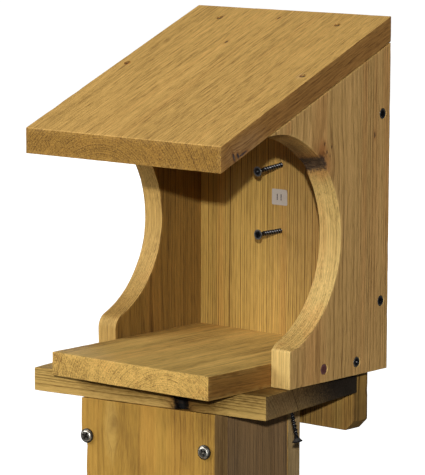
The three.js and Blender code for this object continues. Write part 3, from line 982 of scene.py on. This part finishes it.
def make_side(word, seed, wood_at, knot=None):
    """Above the straight foot of the front edge, a shoulder rounds over into the scoop."""
    node = f"{word}_side"
    low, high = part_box(node)
    place = placed((low.x, high.y, low.z), (0, -1, 0), (1, 0, 0), (0, 0, 1))
    rear_height = (high.z - low.z) / MM
    radius, shoulder, slant = SCOOPS[word]
    top = SCOOP_HEIGHT + radius
    toe = (rear_height - top) / math.tan(ROOF_SLOPE)
    turn = math.acos((SCOOP_FROM_REAR - SIDE_DEPTH + shoulder) / (radius + shoulder))
    foot = SCOOP_HEIGHT - (radius + shoulder) * math.sin(turn)
    over = foot + shoulder * turn
    scooped = over + radius * (turn + math.pi / 2)
    total = scooped + toe - SCOOP_FROM_REAR

    def front(t, through):
        if t <= foot:
            return SIDE_DEPTH, t
        if t <= over:
            angle = (t - foot) / shoulder
            back = shoulder * (1 - math.cos(angle))
            return SIDE_DEPTH - back, foot + shoulder * math.sin(angle)
        if t >= scooped:
            return SCOOP_FROM_REAR + t - scooped, top
        angle = turn - (t - over) / radius
        lean = slant * min(1.0, max(0.0, radius * math.cos(angle) / SLANT_FADE))
        reach = radius + lean * (through / BOARD - 0.5)
        return SCOOP_FROM_REAR - reach * math.cos(angle), SCOOP_HEIGHT - reach * math.sin(angle)

    def shape(x, y, z):
        fx, fz = front(z, y)
        share = x / SIDE_DEPTH
        return share * fx, y, (1 - share) * rear_height * z / total + share * fz

    cell = CELL * 0.7
    marks = [foot + (over - foot) * i / SHOULDER_STEPS for i in range(SHOULDER_STEPS + 1)]
    zs = steps(total, *marks, scooped, cell=cell)
    bm = block(steps(SIDE_DEPTH), steps(BOARD, cell=cell), zs, shape)
    dents = [((86, 9.5, knot[0][2]), (8, 40, 8), 1.6)] if knot else []
    board(node, place, bm, wood_at(place), seed, dents=dents)


def make_sides():
    def left_wood(place):
        return cedar(
            "left_side_cedar", place, seed=2, tones=tones(0.5, 0.31, 0.085), pith=(100, 130),
            ring=1.5, ring_share=0.38, streak=0.85, fibre=0.9, fleck=0.2, band=0.4, patch=0.3,
            # The inner face, turned to +X, is darkened as painted shade.
            end=(0.85, 0.8, 0.72), end_ring=0.5, browned=(((1, 0, 0), (0.4, 0.345, 0.24)),))

    knot = ((88, 9.5, 170.8), 7.3, (0.92, 0, 0.85), 0.95)
    specks = [((x, 19, z), r, (1, 2, 0.4), 0.8) for x, z, r in (
        (20, 190, 1.0), (81, 181, 0.9), (77, 178, 0.7), (84, 188, 0.7), (75, 185, 0.6))]
    sap = ((87, 19, 184), 4.0, (1, 1, 0.5), (0.78, 0.66, 0.6))
    # Painted shade along the inner edge of the scoop's cut face, above the knot.
    painted_cut_face_shade = ((98, 0, 186), 9.0, (0.42, 0.7, 0.55), (0.4, 0.36, 0.34))

    def right_wood(place):
        return cedar(
            "right_side_cedar", place, seed=3, tones=tones(0.69, 0.465, 0.15), pith=(95, -120),
            ring=1.5, ring_share=0.34, streak=0.85, fibre=0.9, fleck=0.2, band=0.35, patch=0.3,
            red=0.3, end=(0.85, 0.8, 0.72), end_ring=0.5, knots=(knot, *specks),
            stains=(sap, painted_cut_face_shade),
            # Faces turned to +X, and the scoop's downward cut face, are darkened as painted shade.
            browned=(((1, 0, 0), (0.79, 0.69, 0.7)), ((0, 0, -1), (0.62, 0.55, 0.52))))

    make_side("left", 2, left_wood)
    make_side("right", 3, right_wood, knot)


def make_back():
    low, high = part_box("back_board")
    place = placed(low, (1, 0, 0), (0, 1, 0), (0, 0, 1))
    width = (high.x - low.x) / MM
    height = (high.z - low.z) / MM
    slant = math.tan(ROOF_SLOPE)

    def shape(x, y, z):
        bottom = max(0, TAIL_CHAMFER - x, x - width + TAIL_CHAMFER)
        top = height - (BOARD - y) * slant
        return x, y, bottom + (top - bottom) * z / height

    xs = steps(width, TAIL_CHAMFER, width - TAIL_CHAMFER)
    bm = block(xs, steps(BOARD), steps(height), shape)
    dull_right = ((118, 0, 215), 40.0, (1, 0, 0.32), (0.84, 0.82, 0.95))
    # Darker towards the bottom of the back board's tail.
    darker_tail = ((width / 2, 9.5, 0), 40.0, (0.3, 0, 1), (0.62, 0.6, 0.62))
    wood = cedar(
        "back_cedar", place, seed=4, tones=tones(0.44, 0.27, 0.06), pith=(-70, 40), ring=1.6,
        ring_share=0.8, streak=0.55, fibre=0.8, fleck=0.2, band=0.3, patch=0.35, red=0.3,
        end_ring=0.6, wander=1.2, stains=(darker_tail, dull_right),
        # The right edge is darkened as painted shade.
        browned=(((1, 0, 0), (0.72, 0.67, 0.68)),))
    board("back_board", place, bm, wood, 4)


def make_floor():
    low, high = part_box("floor_board")
    place = placed((high.x, low.y, low.z), (-1, 0, 0), (0, 0, 1), (0, 1, 0))
    bm = block(steps((high.x - low.x) / MM), steps(BOARD), steps((high.y - low.y) / MM))
    wood = cedar(
        "floor_cedar", place, seed=5, tones=tones(0.66, 0.43, 0.116), pith=(44, -30), ring=1.7,
        ring_share=0.28, streak=0.85, fibre=0.85, fleck=0.35, band=0.9, patch=0.9, speckle=1.6,
        # The ledge's right end is darkened as painted shade.
        end=(0.9, 0.84, 0.75), end_ring=0.34, browned=(((1, 0, 0), (0.37, 0.27, 0.19)),))
    board("floor_board", place, bm, wood, 5)


def base_origin():
    """The middle of the mounting plate's front edge, level with the floor."""
    low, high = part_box("mounting_plate")
    middle = (low + high) / 2
    at = middle - BASE_Y * (PLATE_DEPTH / 2 * MM)
    return Vector((at.x, at.y, 0))


def on_base(x, y, z):
    return base_origin() + BASE_X * (x * MM) + BASE_Y * (y * MM) + UP * (z * MM)


def notch_cutter(place):
    """A ragged cone where a knot has fallen out of the plate's front edge."""
    middle = (NOTCH_RADIUS + NOTCH_FOOT_RADIUS) / 2
    draw = random.Random(5)
    bumps = [draw.uniform(-0.5, 0.5) for _ in range(NOTCH_BUMPS)]

    def ragged(angle, depth):
        return round_about(bumps, angle) + 0.3 * math.sin(depth * 0.9 + 3 * angle)

    rows = []
    for i in range(NOTCH_STEPS + 1):
        down = -BOARD + 2 * BOARD * i / NOTCH_STEPS
        rows.append((middle + (NOTCH_RADIUS - middle) * down / BOARD, down))
    bm = turned(rows, 32, ragged)
    # Board axes: Y is up, and Z runs to the right along the front edge.
    across = Vector((1, 0, 0))
    up = Vector((0, math.cos(NOTCH_LEAN), -math.sin(NOTCH_LEAN)))
    sideways = up.cross(across)
    bm.transform(place @ axes((0, BOARD / 2, NOTCH_Z), sideways.cross(up), sideways, up))
    return cutter_mesh("notch", bm)


def make_plate():
    low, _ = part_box("mounting_plate")
    foot = low.z / MM
    place = placed(on_base(-PLATE_LENGTH / 2, 0, foot), BASE_Y, UP, BASE_X)
    bm = block(steps(PLATE_DEPTH), steps(BOARD), steps(PLATE_LENGTH))
    burr = ((0, 9.5, NOTCH_Z), 6.5, (1, 0.25, 1), 1.0)
    # Painted shade and shadow: black inside the notch, the ledge's shadow along the top of the
    # front face, shade on the top under the house's right side, and shadow on the rear of the
    # right end.
    painted_notch_shadow = ((2, 9.5, NOTCH_Z), 7.5, (1, 0.2, 1), (0.015, 0.02, 0.03))
    shade = ((0, 19, 105), 14.0, (1, 1, 0.15), (0.42, 0.37, 0.28))
    painted_ledge_shadow = ((0, 13, 158), 15.0, (1, 0.75, 0.6), (0.38, 0.33, 0.26))
    painted_top_shade = ((60, 19, 208), 26.0, (0.4, 2, 1), (0.5, 0.45, 0.4))
    painted_end_shadow = ((126, 14, PLATE_LENGTH), 36.0, (0.6, 1, 1), (0.13, 0.15, 0.25))
    wood = cedar(
        "plate_cedar", place, seed=6, tones=tones(0.46, 0.295, 0.08), pith=(-75, -60), ring=2.0,
        ring_share=0.85, streak=0.8, fibre=0.7, fleck=0.3, band=0.6, patch=0.5,
        end=(0.44, 0.43, 0.6), end_ring=0.55, speckle=1.2, gloss=0.12,
        knots=(burr,), stains=(painted_notch_shadow, shade, painted_ledge_shadow, painted_end_shadow, painted_top_shade))
    board("mounting_plate", place, bm, wood, 6, cutters=[notch_cutter(place)])


def split_cutter(place):
    """A long splinter gone from the sleeve's left front arris."""
    draw = random.Random(8)
    levels = []
    for i in range(SPLIT_STEPS + 1):
        share = i / SPLIT_STEPS
        z = SPLIT_TOP - SPLIT_LENGTH * share
        open_at = min(1.0, share / 0.05) * (1 if share < 0.4 else (1 - (share - 0.4) / 0.6))
        wide = SPLIT_WIDTH * open_at + draw.uniform(-0.35, 0.35)
        deep = SPLIT_DEPTH * (0.35 + 0.65 * open_at) + draw.uniform(-0.8, 0.8)
        wide = max(wide, -0.4)
        levels.append([
            (-2, -2, z), (wide + 0.5, -2, z), (wide, deep * 0.5, z),
            (wide * 0.55, deep * 0.8, z), (-2, deep, z)])
    bm = lofted(levels)
    bm.transform(place)
    return cutter_mesh("split", bm)


def sleeve_wood(name, place, seed, **looks):
    settings = dict(
        tones=tones(0.42, 0.232, 0.038), pith=(35, 95), ring=1.8, ring_share=0.2, streak=0.6,
        fibre=0.7, fleck=0.2, band=0.5, patch=1.2, end=(0.8, 0.75, 0.66), end_ring=0.5)
    settings.update(looks)
    return cedar(name, place, seed, **settings)


def make_sleeve():
    low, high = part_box("sleeve_front_board")
    height = (high.z - low.z) / MM
    half = SLEEVE_WIDTH / 2
    for word, y, seed in (("front", 0.0, 7), ("rear", SLEEVE_WIDTH - BOARD, 8)):
        node = f"sleeve_{word}_board"
        place = placed(on_base(-half, y, 0), BASE_X, BASE_Y, UP)
        bm = block(steps(SLEEVE_WIDTH), steps(BOARD), steps(height))
        swirl = ((31, 0, 104), 5.0, (1, 0, 0.4), 0.0)
        # A pale streak of painted sheen.
        painted_sheen = ((29, 0, 106), 9.0, (1.5, 0, 0.35), (1.22, 1.33, 1.8))
        edge = (0.72, 0.76, 1.6) if word == "front" else (1.0, 1.25, 3.3)
        wood = sleeve_wood(
            f"sleeve_{word}_cedar", place, seed, knots=(swirl,), stains=(painted_sheen,),
            browned=((tuple(BASE_X), edge),))
        cutters = [split_cutter(place)] if word == "front" else []
        board(node, place, bm, wood, seed, cutters=cutters)
    width = SLEEVE_WIDTH - 2 * BOARD - 2 * SLEEVE_GAP
    for word, x, seed in (("left", -half, 9), ("right", half - BOARD, 10)):
        node = f"sleeve_{word}_board"
        rear = SLEEVE_WIDTH - BOARD - SLEEVE_GAP
        place = placed(on_base(x, rear, 0), -BASE_Y, BASE_X, UP)
        bm = block(steps(width), steps(BOARD), steps(height))
        wood = sleeve_wood(
            f"sleeve_{word}_cedar", place, seed, tones=tones(0.24, 0.136, 0.044),
            pith=(-50, 60), ring=2.2, ring_share=0.8, streak=1.1,
            band=1.6, patch=0.8, grey=0.2)
        board(node, place, bm, wood, seed)


# ---- Number label -----------------------------------------------------------------------------

STROKES = (-2.4, 1.6)  # the two plain strokes, from the label's middle

def paper():
    s = Shader("label_paper")
    at = s.vector("SCALE", s.add("ShaderNodeTexCoord").outputs["Object"], 1000.0)
    fibres = s.noise(s.vector("MULTIPLY", at, (1.2, 1.2, 2.4)), 4.0, 0.65)
    smudge = s.noise(s.vector("SCALE", at, 0.16), 2.0)
    colour = s.ramp(fibres, (0.3, (0.4, 0.34, 0.28)), (0.75, (0.52, 0.47, 0.41)))
    soiled = s.math("MULTIPLY", s.step(smudge, 0.45, 0.7), 0.35)
    colour = s.blend(soiled, colour, (0.38, 0.3, 0.24))
    low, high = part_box("number_label")
    middle = (low + high) / 2 / MM
    x, _, z = s.split(at)[:3]
    tall = s.math("COMPARE", z, middle.z, 2.6)
    ink = 0.0
    for stroke in STROKES:
        thin = s.math("COMPARE", x, middle.x + stroke, 0.5)
        ink = s.math("MAXIMUM", ink, s.math("MULTIPLY", thin, tall))
    worn = s.step(fibres, 0.36, 0.5)
    colour = s.blend(s.math("MULTIPLY", ink, worn), colour, (0.05, 0.04, 0.05))
    s.feed(s.surface.inputs["Base Color"], colour)
    s.feed(s.surface.inputs["Roughness"], s.math("MULTIPLY_ADD", fibres, 0.2, 0.55))
    s.feed(s.surface.inputs["Normal"], s.bump(fibres, 0.00005, 0.6))
    return s.material


def make_label():
    """Paper with round corners, one of them lifting."""
    low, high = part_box("number_label")
    width, height = (high.x - low.x) / MM, (high.z - low.z) / MM
    thick = (high.y - low.y) / MM
    radius = 1.2

    def shape(x, y, z):
        cx = min(max(x, radius), width - radius)
        cz = min(max(z, radius), height - radius)
        away = math.hypot(x - cx, z - cz)
        if away > radius:
            x = cx + (x - cx) * radius / away
            z = cz + (z - cz) * radius / away
        lift = max(0.0, (x / width + z / height) - 1.55) ** 2 * 3.0
        swell = 0.05 * math.sin(x * 0.9) * math.sin(z * 0.7)
        return x, thick * 0.45 + y * 0.4 + swell - lift, z

    cell = 0.6
    bm = block(steps(width, cell=cell), [0.0, thick], steps(height, cell=cell), shape)
    place = placed(low, (1, 0, 0), (0, 1, 0), (0, 0, 1))
    piece = to_object("number_label_paper", bm, place)
    finish_surface(piece, paper(), 50)
    stand_for(piece, "number_label")


# ---- All of it ----------------------------------------------------------------------------------

make_roof()
make_sides()
make_back()
make_floor()
make_plate()
make_sleeve()
make_screws()
make_label()
